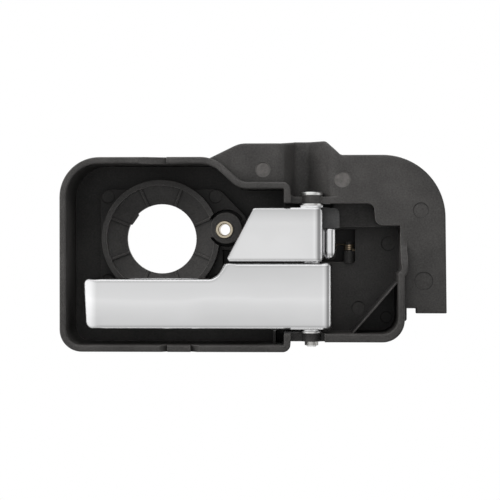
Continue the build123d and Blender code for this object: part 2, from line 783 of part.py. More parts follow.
# Fixing sleeve: metal tube pressed into the screw boss
with BuildPart() as fixing_sleeve:
    with BuildSketch(front(0)):
        Circle(SLEEVE_R)
        Circle(SLEEVE_BORE_R, mode=Mode.SUBTRACT)
    extrude(amount=SLEEVE_H)
    mouth = fixing_sleeve.faces().sort_by(Axis.Y)[0]
    chamfer(mouth.edges(), SLEEVE_LEAD)

# Pull lever: crowned grip, hub with room for the spring, column behind the lock button, release arm
with BuildPart() as pull_lever:
    with BuildSketch(front(LEVER_BACK_H)):
        add(outline(LEVER))
    extrude(amount=LEVER_H - LEVER_BACK_H + WALL)
    grip_mid = (GRIP_TOP + LEVER_BOTTOM) / 2
    crown_y = LEVER_CROWN - LEVER_H
    with BuildSketch(level(grip_mid)):
        with BuildLine():
            roll_start = LEVER_LEFT + LEVER_ROLL
            face_line = Line((LEVER_RIGHT + WALL, -LEVER_H), (roll_start, -LEVER_H))
            rolled = TangentArc(
                face_line @ 1, (LEVER_LEFT - TIGHT, LEVER_ROLL_DROP - LEVER_H), tangent=(-1, 0)
            )
            Polyline(
                rolled @ 1,
                (LEVER_LEFT - TIGHT, crown_y),
                (LEVER_RIGHT + WALL, crown_y),
                face_line @ 0,
            )
        make_face()
    revolve(axis=Axis((0, crown_y, grip_mid), (1, 0, 0)), mode=Mode.INTERSECT)
    skin = pull_lever.faces().filter_by(lambda face: face.normal_at().Y < -0.5)
    fillet(skin.edges(), LEVER_EDGE)
    back = pull_lever.faces().sort_by(Axis.Y)[-1]
    fillet(back.edges(), LEVER_BACK_EDGE)

    # Hub on the pin, column and horn that rise behind the lock button, collar on the lower washer
    hub_foot = LEVER_BOTTOM + LEVER_EDGE
    hub_top = LEVER_TOP - LEVER_EDGE
    horn_y = HORN_R - HORN_H
    with BuildSketch(level(hub_foot)):
        with Locations(PIVOT):
            Circle(HUB_R)
    extrude(amount=hub_top - hub_foot)
    with BuildSketch(level(hub_top)):
        with Locations(PIVOT):
            Circle(COLUMN_R)
    extrude(amount=KNUCKLE_TOP - hub_top)
    with BuildSketch(level(HORN_FOOT + HORN_R)):
        with Locations((HORN_X, horn_y)):
            Circle(HORN_R)
        add(block(PIVOT_X + BORE_R, HORN_X, horn_y - HORN_WEB / 2, horn_y + HORN_WEB / 2))
    extrude(amount=KNUCKLE_TOP - HORN_FOOT - HORN_R)
    with Locations((HORN_X, horn_y, HORN_FOOT + HORN_R)):
        Sphere(HORN_R)
    with BuildSketch(level(COLLAR_FOOT)):
        with Locations(PIVOT):
            Circle(WASHER_R)
    extrude(amount=hub_foot - COLLAR_FOOT)

    # Release arm with the seat for the cable's nipple
    with BuildSketch(level(ARM_Z - ARM_T / 2)):
        add(block(PIVOT_X - ARM_W / 2, PIVOT_X + ARM_W / 2, -PIVOT_H, -CABLE_H))
        with Locations((PIVOT_X, -CABLE_H)):
            Circle(ARM_END_R)
    extrude(amount=ARM_T)
    with BuildSketch(level(ARM_Z - ARM_T / 2)):
        with Locations((PIVOT_X, -CABLE_H)):
            Circle(NIPPLE_R)
    extrude(amount=ARM_T, mode=Mode.SUBTRACT)
    with BuildSketch(level(ARM_Z - CABLE_SLOT / 2)):
        add(block(PIVOT_X, PIVOT_X + 2 * ARM_END_R, -CABLE_H - CABLE_SLOT / 2, -CABLE_H + 2 * ARM_END_R))
    extrude(amount=CABLE_SLOT, mode=Mode.SUBTRACT)

    # Room for the return spring and its leg, and the pin's bore
    with BuildSketch(level(SPRING_ROOM_FOOT)):
        with Locations(PIVOT):
            Circle(SPRING_ROOM_R)
        leg_front = -PIVOT_H - RETURN_R - RETURN_WIRE / 2 - SEAT_GAP
        add(block(PIVOT_X, SPRING_ROOM_RIGHT, leg_front, -LEVER_BACK_H + WALL))
        add(block(PIVOT_X - SPRING_ROOM_R, PIVOT_X, -PIVOT_H, -LEVER_BACK_H + 2 * HUB_R))
    extrude(amount=SPRING_ROOM_TOP - SPRING_ROOM_FOOT, mode=Mode.SUBTRACT)
    with BuildSketch(level(COLLAR_FOOT - WALL)):
        with Locations(PIVOT):
            Circle(BORE_R)
    extrude(amount=KNUCKLE_TOP - COLLAR_FOOT + 2 * WALL, mode=Mode.SUBTRACT)

# Lock button: a chromed cap with an eye on the pin and three staked pegs
with BuildPart() as lock_paddle:
    with BuildSketch(front(PADDLE_BACK_H)):
        add(outline(PADDLE))
    extrude(amount=PADDLE_H - PADDLE_BACK_H)
    with BuildSketch(upright(0)):
        with BuildLine():
            face_line = Line((-PADDLE_H, PADDLE_BOTTOM), (-PADDLE_H, PADDLE_TOP - PADDLE_ROLL))
            rolled = TangentArc(
                face_line @ 1, (PADDLE_ROLL_DROP - PADDLE_H, PADDLE_TOP), tangent=(0, 1)
            )
            Polyline(rolled @ 1, (0, PADDLE_TOP), (0, PADDLE_BOTTOM), face_line @ 0)
        make_face()
    extrude(amount=FAR, both=True, mode=Mode.INTERSECT)
    skin = lock_paddle.faces().filter_by(lambda face: face.normal_at().Y < -0.5)
    fillet(skin.edges(), PADDLE_EDGE)
    with BuildSketch(front(PADDLE_BACK_H)):
        add(outline(PADDLE))
        offset(amount=-PADDLE_SIDE)
    extrude(amount=CARRIER_H - PADDLE_BACK_H, mode=Mode.SUBTRACT)
    with BuildSketch(level(PADDLE_TOP)):
        with Locations(PIVOT):
            Circle(EYE_R)
        eye_front = PADDLE_ROLL_DROP + PADDLE_EDGE - PADDLE_H
        add(block(PIVOT_X - EYE_R, PIVOT_X + EYE_R, eye_front, -PIVOT_H))
        with Locations(PIVOT):
            Circle(BORE_R, mode=Mode.SUBTRACT)
    extrude(amount=EYE_T)
    with BuildSketch(front(CARRIER_H)):
        with Locations(*PEG_PLACES):
            Circle(PEG_R)
    extrude(amount=-CARRIER_T)
    with BuildSketch(front(CARRIER_H - CARRIER_T)):
        with Locations(*PEG_PLACES):
            Circle(PEG_HEAD_R)
    extrude(amount=-PEG_HEAD_T, taper=PEG_HEAD_TAPER)

# Lock crank: black carrier under the cap, hub on the pin, ear, cable arm and detent cam
with BuildPart() as lock_crank:
    with BuildSketch(front(CARRIER_H - CARRIER_T)):
        add(outline(PADDLE))
        offset(amount=-PADDLE_SIDE - CARRIER_GAP)
        add(block(CARRIER_STEP_X, FAR, -FAR, CRANK_FOOT), mode=Mode.SUBTRACT)
    extrude(amount=CARRIER_T)
    with BuildSketch(front(0)):
        with Locations(*PEG_PLACES):
            Circle(PEG_R + PEG_GAP)
    extrude(amount=RIM_H, mode=Mode.SUBTRACT)
    with BuildSketch(level(CRANK_FOOT)):
        with Locations(PIVOT):
            Circle(CRANK_HUB_R)
    extrude(amount=CRANK_TOP - CRANK_FOOT)
    with BuildSketch(front(CRANK_EAR_H - CRANK_EAR_T)):
        add(outline([
            (PIVOT_X, CRANK_FOOT, 0),
            (PIVOT_X, CRANK_TOP, 0),
            (CRANK_EAR_RIGHT, CRANK_TOP, CRANK_EAR_ROUND),
            (CRANK_EAR_RIGHT, CRANK_FOOT, TIGHT),
        ]))
    extrude(amount=CRANK_EAR_T)

    # Cable arm with the nipple's seat
    with BuildSketch(level(CRANK_ARM_FOOT)):
        add(block(CRANK_ARM_LEFT, CRANK_ARM_LEFT + CRANK_ARM_W, -PIVOT_H, -CABLE_H))
        with Locations((CRANK_ARM_X, -CABLE_H)):
            Circle(ARM_END_R)
    extrude(amount=CRANK_ARM_T)
    with BuildSketch(level(CRANK_ARM_FOOT)):
        with Locations((CRANK_ARM_X, -CABLE_H)):
            Circle(NIPPLE_R)
    extrude(amount=CRANK_ARM_T, mode=Mode.SUBTRACT)
    with BuildSketch(level(CRANK_MID_Z - CABLE_SLOT / 2)):
        add(block(
            CRANK_ARM_X,
            CRANK_ARM_X + 2 * ARM_END_R,
            -CABLE_H - CABLE_SLOT / 2,
            -CABLE_H + 2 * ARM_END_R,
        ))
    extrude(amount=CABLE_SLOT, mode=Mode.SUBTRACT)

    # Web down to the cam, and the cam with two flats and a ridge between them
    cam_foot = DETENT_LEG_Z - CAM_T / 2
    with BuildSketch(level(cam_foot)):
        with BuildLine():
            Polyline(
                on_flat(FREE_FLAT, -CAM_LEAD),
                on_flat(FREE_FLAT, FLAT_R * tan(radians(LOCK_TRAVEL / 2))),
                on_flat(LOCKED_FLAT, CAM_LEAD),
                on_flat(LOCKED_FLAT, CAM_LEAD, 2 * CAM_T),
                on_flat(FREE_FLAT, -CAM_LEAD, 2 * CAM_T),
                close=True,
            )
        make_face()
    extrude(amount=CAM_T)
    with BuildSketch(level(cam_foot)):
        add(block(
            CRANK_ARM_LEFT,
            CRANK_ARM_LEFT + CRANK_WEB_W,
            FLAT_R - PIVOT_H - 2 * CAM_T,
            FLAT_R - PIVOT_H - CAM_T / 2,
        ))
    extrude(amount=CRANK_ARM_FOOT - cam_foot + TIGHT)
    with BuildSketch(level(CRANK_FOOT - WALL)):
        with Locations(PIVOT):
            Circle(BORE_R)
    extrude(amount=CRANK_TOP - CRANK_FOOT + 2 * WALL, mode=Mode.SUBTRACT)

# Pivot pin with a low domed head
with BuildPart() as pivot_pin:
    with BuildSketch(level(LUG_FOOT - RETAINER_T - PIN_TAIL)):
        with Locations(PIVOT):
            Circle(PIN_R)
    extrude(amount=LUG_TOP - LUG_FOOT + RETAINER_T + PIN_TAIL)
    with BuildSketch(level(LUG_TOP)):
        with Locations(PIVOT):
            Circle(PIN_HEAD_R)
    extrude(amount=PIN_HEAD_T)
    head = pivot_pin.faces().sort_by(Axis.Z)[-1]
    fillet(head.edges(), PIN_HEAD_EDGE)
    tail = pivot_pin.faces().sort_by(Axis.Z)[0]
    chamfer(tail.edges(), PIN_HEAD_EDGE)

# Push-on retainer on the pin's lower end, with slots between its teeth
with BuildPart() as pin_retainer:
    with BuildSketch(level(LUG_FOOT - RETAINER_T)):
        with Locations(PIVOT):
            Circle(RETAINER_R)
            Circle(PIN_R, mode=Mode.SUBTRACT)
    extrude(amount=RETAINER_T)
    with BuildSketch(level(LUG_FOOT - RETAINER_T)):
        with Locations(PIVOT):
            with PolarLocations(RETAINER_R, RETAINER_SLOTS):
                Rectangle(RETAINER_R, RETAINER_SLOT_W)
    extrude(amount=RETAINER_SLOT_DEPTH, mode=Mode.SUBTRACT)

# Washers under the upper lug and on the lower lug
with BuildPart() as upper_washer:
    with BuildSketch(level(CEILING - AXIAL - WASHER_T)):
        with Locations(PIVOT):
            Circle(WASHER_R)
            Circle(BORE_R, mode=Mode.SUBTRACT)
    extrude(amount=WASHER_T)

with BuildPart() as lower_washer:
    with BuildSketch(level(GROUND)):
        with Locations(PIVOT):
            Circle(WASHER_R)
            Circle(BORE_R, mode=Mode.SUBTRACT)
    extrude(amount=COLLAR_FOOT - AXIAL - GROUND)

# Centre lines of the two springs' coils
RETURN_COIL = Pos(PIVOT_X, -PIVOT_H, RETURN_FOOT_Z) * Rot(0, 0, 180) * Helix(
    RETURN_PITCH, (RETURN_TURNS + 0.25) * RETURN_PITCH, RETURN_R
)
DETENT_COIL = Pos(DETENT_X, -DETENT_H, DETENT_FOOT_Z) * Rot(0, 0, 90) * Helix(
    DETENT_PITCH, (DETENT_TURNS - DETENT_SLOPE / 360) * DETENT_PITCH, DETENT_R
)

# Return spring: coil on the pin, tail on the housing's stop, leg on the lever
with BuildPart() as lever_return_spring:
    with BuildSketch(Plane(origin=RETURN_COIL @ 0, z_dir=RETURN_COIL % 0)):
        RegularPolygon(RETURN_WIRE / 2, WIRE_SIDES)
    sweep(path=RETURN_COIL, is_frenet=True)
    tail_face = lever_return_spring.faces().sort_by_distance(RETURN_COIL @ 0)[0]
    leg_face = lever_return_spring.faces().sort_by_distance(RETURN_COIL @ 1)[0]
    extrude(tail_face, amount=RETURN_TAIL, dir=(0, 1, 0))
    extrude(leg_face, amount=RETURN_LEG, dir=(1, 0, 0))

# Detent spring: coil on its post, tail under the well's lip, leg on the crank's cam
with BuildPart() as lock_detent_spring:
    with BuildSketch(Plane(origin=DETENT_COIL @ 0, z_dir=DETENT_COIL % 0)):
        RegularPolygon(DETENT_WIRE / 2, WIRE_SIDES)
    sweep(path=DETENT_COIL, is_frenet=True)
    tail_face = lock_detent_spring.faces().sort_by_distance(DETENT_COIL @ 0)[0]
    leg_face = lock_detent_spring.faces().sort_by_distance(DETENT_COIL @ 1)[0]
    extrude(tail_face, amount=DETENT_TAIL, dir=(1, 0, 0))
    extrude(leg_face, amount=DETENT_LEG, dir=DETENT_ALONG)

# Rubber bump stop: a clip over the edge of the release slot
with BuildPart() as lever_bump_stop:
    with BuildSketch(level(ARM_Z - BUMP_W / 2)):
        add(
            block(
                SLOT_RIGHT - BUMP_T,
                SLOT_RIGHT + BUMP_REACH,
                -POCKET_H - BUMP_LIP,
                -FLOOR_BACK_H + BUMP_LIP,
            )
        )
        add(block(SLOT_RIGHT, FAR, -POCKET_H, -FLOOR_BACK_H), mode=Mode.SUBTRACT)
    extrude(amount=BUMP_W)

PIECES = {
    "housing": housing,
    "fixing_sleeve": fixing_sleeve,
    "pull_lever": pull_lever,
    "lock_paddle": lock_paddle,
    "lock_crank": lock_crank,
    "pivot_pin": pivot_pin,
    "pin_retainer": pin_retainer,
    "upper_washer": upper_washer,
    "lower_washer": lower_washer,
    "lever_return_spring": lever_return_spring,
    "lock_detent_spring": lock_detent_spring,
    "lever_bump_stop": lever_bump_stop,
}

os.makedirs("parts", exist_ok=True)
for name, piece in PIECES.items():
    piece.part.label = name
    export_step(piece.part, f"parts/{name}.step")
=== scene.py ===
import math

import bpy
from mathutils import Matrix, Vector


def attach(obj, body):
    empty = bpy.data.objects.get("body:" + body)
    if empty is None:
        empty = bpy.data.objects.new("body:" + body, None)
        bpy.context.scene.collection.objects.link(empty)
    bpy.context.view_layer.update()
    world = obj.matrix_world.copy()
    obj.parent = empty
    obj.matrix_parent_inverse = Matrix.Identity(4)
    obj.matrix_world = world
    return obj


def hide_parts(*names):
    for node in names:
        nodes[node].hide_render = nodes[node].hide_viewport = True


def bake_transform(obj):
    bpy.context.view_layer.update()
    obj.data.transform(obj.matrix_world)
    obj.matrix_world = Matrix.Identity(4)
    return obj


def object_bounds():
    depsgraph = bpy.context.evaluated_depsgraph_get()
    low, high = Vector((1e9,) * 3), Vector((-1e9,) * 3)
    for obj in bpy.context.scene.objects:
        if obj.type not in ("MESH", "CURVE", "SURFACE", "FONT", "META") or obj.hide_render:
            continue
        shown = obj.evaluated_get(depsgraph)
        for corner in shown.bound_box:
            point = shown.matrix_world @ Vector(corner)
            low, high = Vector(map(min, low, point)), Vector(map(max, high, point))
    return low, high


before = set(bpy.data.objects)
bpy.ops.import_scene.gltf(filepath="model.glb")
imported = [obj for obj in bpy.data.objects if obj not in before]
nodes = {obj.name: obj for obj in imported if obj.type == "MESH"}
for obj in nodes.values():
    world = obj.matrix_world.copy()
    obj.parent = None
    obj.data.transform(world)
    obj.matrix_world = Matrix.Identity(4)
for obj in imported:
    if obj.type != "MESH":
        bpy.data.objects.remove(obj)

cad_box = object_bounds()
bpy.ops.object.select_all(action="DESELECT")

# Housing: the black moulding that carries every other piece, in talc-filled plastic.
# The tool's spark-eroded face leaves a fine grain, its corners are never quite sharp,
# and the pins that push it out of the tool leave round marks, two of them pale and rough.


def add_node(tree, kind, **settings):
    """New node of that kind with its own settings."""
    node = tree.nodes.new(kind)
    for key, value in settings.items():
        setattr(node, key, value)
    return node


def new_group(name, inputs, outputs):
    """Empty shader group with number inputs, given as name and value, and typed outputs."""
    tree = bpy.data.node_groups.new(name, "ShaderNodeTree")
    for socket, value in inputs.items():
        made = tree.interface.new_socket(socket, in_out="INPUT", socket_type="NodeSocketFloat")
        made.default_value = value
    for socket, kind in outputs.items():
        tree.interface.new_socket(socket, in_out="OUTPUT", socket_type=kind)
    return tree, add_node(tree, "NodeGroupInput"), add_node(tree, "NodeGroupOutput")


def place_group(tree, group, **values):
    """A group placed in a material with its own values."""
    node = add_node(tree, "ShaderNodeGroup", node_tree=group)
    for socket, value in values.items():
        node.inputs[socket.replace("_", " ")].default_value = value
    return node


def new_material(name):
    """Material with only a Principled BSDF, and that shader."""
    material = bpy.data.materials.new(name)
    material.use_nodes = True
    shader = material.node_tree.nodes["Principled BSDF"]
    return material, material.node_tree, shader


def finish_node(name, material):
    """A carried-over solid gets its finish."""
    nodes[name].data.materials.clear()
    nodes[name].data.materials.append(material)


# Shared effect: grain of a spark-eroded moulding tool, as a fine height and a broad mottle
grain, grain_in, grain_out = new_group(
    "moulded_grain",
    {"Grain Scale": 1300.0, "Grain Detail": 3.0, "Mottle Scale": 60.0},
    {"Height": "NodeSocketFloat", "Mottle": "NodeSocketFloat"},
)
grain_rough = 0.6
mottle_detail = 5.0
mottle_rough = 0.65
grain_place = add_node(grain, "ShaderNodeTexCoord")
pits = add_node(grain, "ShaderNodeTexNoise")
pits.inputs["Roughness"].default_value = grain_rough
clouds = add_node(grain, "ShaderNodeTexNoise")
clouds.inputs["Detail"].default_value = mottle_detail
clouds.inputs["Roughness"].default_value = mottle_rough
grain.links.new(grain_in.outputs["Grain Detail"], pits.inputs["Detail"])
for texture, scale, result in ((pits, "Grain Scale", "Height"), (clouds, "Mottle Scale", "Mottle")):
    grain.links.new(grain_place.outputs["Object"], texture.inputs["Vector"])
    grain.links.new(grain_in.outputs[scale], texture.inputs["Scale"])
    grain.links.new(texture.outputs["Fac"], grain_out.inputs[result])

# Shared effect: the small radius on every edge, as a softened normal and a mask of the edges, which
# places the painted highlight on edges
edges, edges_in, edges_out = new_group(
    "soft_edges",
    {"Radius": 0.0004},
    {"Normal": "NodeSocketVector", "Edge": "NodeSocketFloat"},
)
flat_agreement = 0.995
edge_agreement = 0.75
rounding = add_node(edges, "ShaderNodeBevel", samples=6)
facing = add_node(edges, "ShaderNodeNewGeometry")
agree = add_node(edges, "ShaderNodeVectorMath", operation="DOT_PRODUCT")
mask = add_node(edges, "ShaderNodeMapRange")
mask.inputs["From Min"].default_value = flat_agreement
mask.inputs["From Max"].default_value = edge_agreement
edges.links.new(edges_in.outputs["Radius"], rounding.inputs["Radius"])
edges.links.new(rounding.outputs["Normal"], agree.inputs[0])
edges.links.new(facing.outputs["Normal"], agree.inputs[1])
edges.links.new(agree.outputs["Value"], mask.inputs["Value"])
edges.links.new(rounding.outputs["Normal"], edges_out.inputs["Normal"])
edges.links.new(mask.outputs["Result"], edges_out.inputs["Edge"])

# Shared effect: how far a spot lies open to the room, low in deep corners; it sets the painted shade in
# corners and keeps the painted edge highlight to outer edges
depth, depth_in, depth_out = new_group(
    "open_to_room",
    {"Reach": 0.03, "Closed": 0.35, "Open": 0.85},
    {"Open": "NodeSocketFloat"},
)
hollow = add_node(depth, "ShaderNodeAmbientOcclusion", samples=8, only_local=True)
spread = add_node(depth, "ShaderNodeMapRange", interpolation_type="SMOOTHSTEP")
depth.links.new(depth_in.outputs["Reach"], hollow.inputs["Distance"])
depth.links.new(hollow.outputs["AO"], spread.inputs["Value"])
depth.links.new(depth_in.outputs["Closed"], spread.inputs["From Min"])
depth.links.new(depth_in.outputs["Open"], spread.inputs["From Max"])
depth.links.new(spread.outputs["Result"], depth_out.inputs["Open"])


# A moulded plastic's sheen, speckle and grain, its painted highlight on outer edges and its painted
# shade in corners
plastic_sheen = 0.15
speckle_low = 0.65
speckle_high = 1.35
gloss_spread = 0.1
grain_depth = 0.00012
outer_reach = 0.002
outer_closed = 0.6
outer_open = 0.95
corner_shade = 0.65


def moulded_plastic(name, dark, light, edge_highlight_tone, rough, radius, bump):
    """Moulded plastic between two near-black colours, with a painted highlight on outer edges and
    painted shade in corners.
    """
    material, tree, shader = new_material(name)
    shader.inputs["Specular IOR Level"].default_value = plastic_sheen
    texture = place_group(tree, grain)
    edge = place_group(tree, edges, Radius=radius)
    room = place_group(tree, depth)
    outside = place_group(tree, depth, Reach=outer_reach, Closed=outer_closed, Open=outer_open)
    speckle = add_node(tree, "ShaderNodeMath", operation="ADD")
    speckled = add_node(tree, "ShaderNodeMapRange")
    speckled.inputs["From Min"].default_value = speckle_low
    speckled.inputs["From Max"].default_value = speckle_high
    tone = add_node(tree, "ShaderNodeMix", data_type="RGBA")
    tone.inputs["A"].default_value = (*dark, 1.0)
    tone.inputs["B"].default_value = (*light, 1.0)
    # Painted highlight: outer edges lightened toward the edge tone, kept off closed-in edges
    highlight_mask = add_node(tree, "ShaderNodeMath", operation="MULTIPLY")
    highlit_colour = add_node(tree, "ShaderNodeMix", data_type="RGBA")
    highlit_colour.inputs["B"].default_value = (*edge_highlight_tone, 1.0)
    # Painted shade: the colour is darkened where a spot lies closed in, in corners and recesses
    shade = add_node(tree, "ShaderNodeMapRange")
    shade.inputs["To Min"].default_value = corner_shade
    dimmed = add_node(tree, "ShaderNodeMix", data_type="RGBA", blend_type="MULTIPLY")
    dimmed.inputs["Factor"].default_value = 1.0
    gloss = add_node(tree, "ShaderNodeMapRange")
    gloss.inputs["To Min"].default_value = rough - gloss_spread
    gloss.inputs["To Max"].default_value = rough + gloss_spread
    relief = add_node(tree, "ShaderNodeBump")
    relief.inputs["Strength"].default_value = bump
    relief.inputs["Distance"].default_value = grain_depth
    tree.links.new(texture.outputs["Mottle"], speckle.inputs[0])
    tree.links.new(texture.outputs["Height"], speckle.inputs[1])
    tree.links.new(speckle.outputs["Value"], speckled.inputs["Value"])
    tree.links.new(speckled.outputs["Result"], tone.inputs["Factor"])
    tree.links.new(edge.outputs["Edge"], highlight_mask.inputs[0])
    tree.links.new(outside.outputs["Open"], highlight_mask.inputs[1])
    tree.links.new(highlight_mask.outputs["Value"], highlit_colour.inputs["Factor"])
    tree.links.new(tone.outputs["Result"], highlit_colour.inputs["A"])
    tree.links.new(room.outputs["Open"], shade.inputs["Value"])
    tree.links.new(highlit_colour.outputs["Result"], dimmed.inputs["A"])
    tree.links.new(shade.outputs["Result"], dimmed.inputs["B"])
    tree.links.new(dimmed.outputs["Result"], shader.inputs["Base Color"])
    tree.links.new(texture.outputs["Mottle"], gloss.inputs["Value"])
    tree.links.new(gloss.outputs["Result"], shader.inputs["Roughness"])
    tree.links.new(texture.outputs["Height"], relief.inputs["Height"])
    tree.links.new(edge.outputs["Normal"], relief.inputs["Normal"])
    tree.links.new(relief.outputs["Normal"], shader.inputs["Normal"])
    return material


# The housing's colour carries a painted highlight on its outer edges and painted shade in its corners
# and recesses
black_moulding = moulded_plastic(
    "black_moulding",
    dark=(0.0205, 0.0198, 0.0192),
    light=(0.0510, 0.0490, 0.0475),
    # tone of the painted highlight on outer edges
    edge_highlight_tone=(0.105, 0.100, 0.096),
    rough=0.38,
    radius=0.0005,
    bump=0.2,
)
finish_node("housing", black_moulding)

# Shared effect: one round tool mark on a face that looks to the front, as its disc and the line round it
marks, marks_in, marks_out = new_group(
    "ejector_mark",
    {"X": 0.0, "Z": 0.0, "Radius": 0.003, "Skin": 0.0},
    {"Disc": "NodeSocketFloat", "Line": "NodeSocketFloat"},
)
mark_line = 0.0003
mark_place = add_node(marks, "ShaderNodeTexCoord")
mark_axes = add_node(marks, "ShaderNodeSeparateXYZ")
mark_centre = add_node(marks, "ShaderNodeCombineXYZ")
mark_flat = add_node(marks, "ShaderNodeVectorMath", operation="MULTIPLY")
mark_flat.inputs[1].default_value = (1.0, 0.0, 1.0)
mark_away = add_node(marks, "ShaderNodeVectorMath", operation="DISTANCE")
mark_out = add_node(marks, "ShaderNodeMath", operation="SUBTRACT")
mark_near = add_node(marks, "ShaderNodeMath", operation="ABSOLUTE")
mark_front = add_node(marks, "ShaderNodeMath", operation="LESS_THAN")
marks.links.new(mark_place.outputs["Object"], mark_flat.inputs[0])
marks.links.new(mark_place.outputs["Object"], mark_axes.inputs["Vector"])
marks.links.new(marks_in.outputs["X"], mark_centre.inputs["X"])
marks.links.new(marks_in.outputs["Z"], mark_centre.inputs["Z"])
marks.links.new(mark_flat.outputs["Vector"], mark_away.inputs[0])
marks.links.new(mark_centre.outputs["Vector"], mark_away.inputs[1])
marks.links.new(mark_away.outputs["Value"], mark_out.inputs[0])
marks.links.new(marks_in.outputs["Radius"], mark_out.inputs[1])
marks.links.new(mark_out.outputs["Value"], mark_near.inputs[0])
marks.links.new(mark_axes.outputs["Y"], mark_front.inputs[0])
marks.links.new(marks_in.outputs["Skin"], mark_front.inputs[1])
for measured, result in ((mark_out, "Disc"), (mark_near, "Line")):
    inside = add_node(marks, "ShaderNodeMapRange")
    inside.inputs["From Min"].default_value = mark_line
    inside.inputs["From Max"].default_value = 0.0
    here = add_node(marks, "ShaderNodeMath", operation="MULTIPLY")
    marks.links.new(measured.outputs["Value"], inside.inputs["Value"])
    marks.links.new(inside.outputs["Result"], here.inputs[0])
    marks.links.new(mark_front.outputs["Value"], here.inputs[1])
    marks.links.new(here.outputs["Value"], marks_out.inputs[result])

# The housing's own marks: X, Z, radius, skin, how pale the disc is and how dark the line round it is
plate_skin = -0.0262
pocket_skin = -0.0092
corner_skin = -0.0080
platform_skin = -0.0077
housing_marks = [
    (0.0180, 0.0272, 0.0033, plate_skin, 0.8, 0.2),
    (0.0540, 0.0227, 0.0035, plate_skin, 0.9, 0.2),
    (0.0894, 0.0086, 0.0035, plate_skin, 0.0, 0.6),
    (0.0908, -0.0233, 0.0041, plate_skin, 0.0, 0.6),
    (0.0620, -0.0364, 0.0031, pocket_skin, 0.15, 0.5),
    (0.0759, -0.0065, 0.0033, pocket_skin, 0.0, 0.6),
    (0.0750, -0.0407, 0.0026, corner_skin, 0.15, 0.5),
]
corner_mark_r = 0.0031
for mark_x in (-0.0549, -0.0045):
    for mark_z in (-0.02405, 0.01555):
        housing_marks.append((mark_x, mark_z, corner_mark_r, platform_skin, 0.1, 0.6))
mark_tone = (0.100, 0.095, 0.091)
mark_line_tone = (0.0, 0.0, 0.0)
mark_mottle = 500.0
mark_patchy_from = 0.3
mark_patchy_to = 0.7
mark_patchy_least = 0.4
mark_tree = black_moulding.node_tree
mark_shader = mark_tree.nodes["Principled BSDF"]
mark_pitting = place_group(mark_tree, grain, Mottle_Scale=mark_mottle)
mark_patchy = add_node(mark_tree, "ShaderNodeMapRange")
mark_patchy.inputs["From Min"].default_value = mark_patchy_from
mark_patchy.inputs["From Max"].default_value = mark_patchy_to
mark_patchy.inputs["To Min"].default_value = mark_patchy_least
mark_tree.links.new(mark_pitting.outputs["Mottle"], mark_patchy.inputs["Value"])
colour = mark_shader.inputs["Base Color"].links[0].from_socket
for mark_x, mark_z, mark_r, skin, pale, dark in housing_marks:
    mark = place_group(mark_tree, marks, X=mark_x, Z=mark_z, Radius=mark_r, Skin=skin)
    paler = add_node(mark_tree, "ShaderNodeMath", operation="MULTIPLY")
    paler.inputs[1].default_value = pale
    patch = add_node(mark_tree, "ShaderNodeMath", operation="MULTIPLY")
    filled = add_node(mark_tree, "ShaderNodeMix", data_type="RGBA")
    filled.inputs["B"].default_value = (*mark_tone, 1.0)
    darker = add_node(mark_tree, "ShaderNodeMath", operation="MULTIPLY")
    darker.inputs[1].default_value = dark
    lined = add_node(mark_tree, "ShaderNodeMix", data_type="RGBA")
    lined.inputs["B"].default_value = (*mark_line_tone, 1.0)
    mark_tree.links.new(mark.outputs["Disc"], paler.inputs[0])
    mark_tree.links.new(paler.outputs["Value"], patch.inputs[0])
    mark_tree.links.new(mark_patchy.outputs["Result"], patch.inputs[1])
    mark_tree.links.new(patch.outputs["Value"], filled.inputs["Factor"])
    mark_tree.links.new(colour, filled.inputs["A"])
    mark_tree.links.new(mark.outputs["Line"], darker.inputs[0])
    mark_tree.links.new(darker.outputs["Value"], lined.inputs["Factor"])
    mark_tree.links.new(filled.outputs["Result"], lined.inputs["A"])
    colour = lined.outputs["Result"]
mark_tree.links.new(colour, mark_shader.inputs["Base Color"])

# Key nub: a small flat moulded with the housing inside the switch opening, at its upper left.
# It keeps a round switch from turning. The opening itself is a plain bore in the solid.
ring_x = -0.0297
ring_z = -0.00425
seat_front_y = -0.0075
seat_back_y = -0.0052
nub_angle = math.radians(144.6)
nub_flat_r = 0.0152
nub_root_r = 0.0168
nub_half_width = 0.0017
nub_root_spread = 1.8
nub_edge = 0.0006
nub_smooth = math.radians(40.0)
nub_middle = ((nub_flat_r + nub_root_r) / 2, (seat_front_y + seat_back_y) / 2, 0.0)
bpy.ops.mesh.primitive_cube_add(size=1.0, location=nub_middle)
key_nub = bpy.context.object
key_nub.name = "key_nub"
key_nub.scale = (nub_root_r - nub_flat_r, seat_back_y - seat_front_y, 2 * nub_half_width)
bpy.ops.object.transform_apply(location=True, rotation=False, scale=True)
for face in key_nub.data.polygons:
    face.select = face.normal.x > 0.5
bpy.ops.object.mode_set(mode="EDIT")
bpy.ops.mesh.select_mode(type="FACE")
bpy.ops.transform.resize(value=(1.0, 1.0, nub_root_spread), center_override=nub_middle)
bpy.ops.mesh.select_all(action="SELECT")
bpy.ops.mesh.bevel(offset=nub_edge, segments=3, affect="EDGES")
bpy.ops.object.mode_set(mode="OBJECT")
key_nub.rotation_euler = (0.0, -nub_angle, 0.0)
key_nub.location = (ring_x, 0.0, ring_z)
bpy.ops.object.transform_apply(location=True, rotation=True, scale=True)
bpy.ops.object.shade_smooth_by_angle(angle=nub_smooth)
key_nub.data.materials.append(black_moulding)
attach(key_nub, "housing")

# Fixing sleeve: a short turned tube of yellow-passivated steel, pressed into the screw boss.
# Its end face carries the marks of the cut, and the film over it is uneven.
metal_mottle = 700.0
metal_edge = 0.00015
metal_gloss_share = 0.3
metal_mark_strength = 0.12
metal_mark_depth = 0.00005


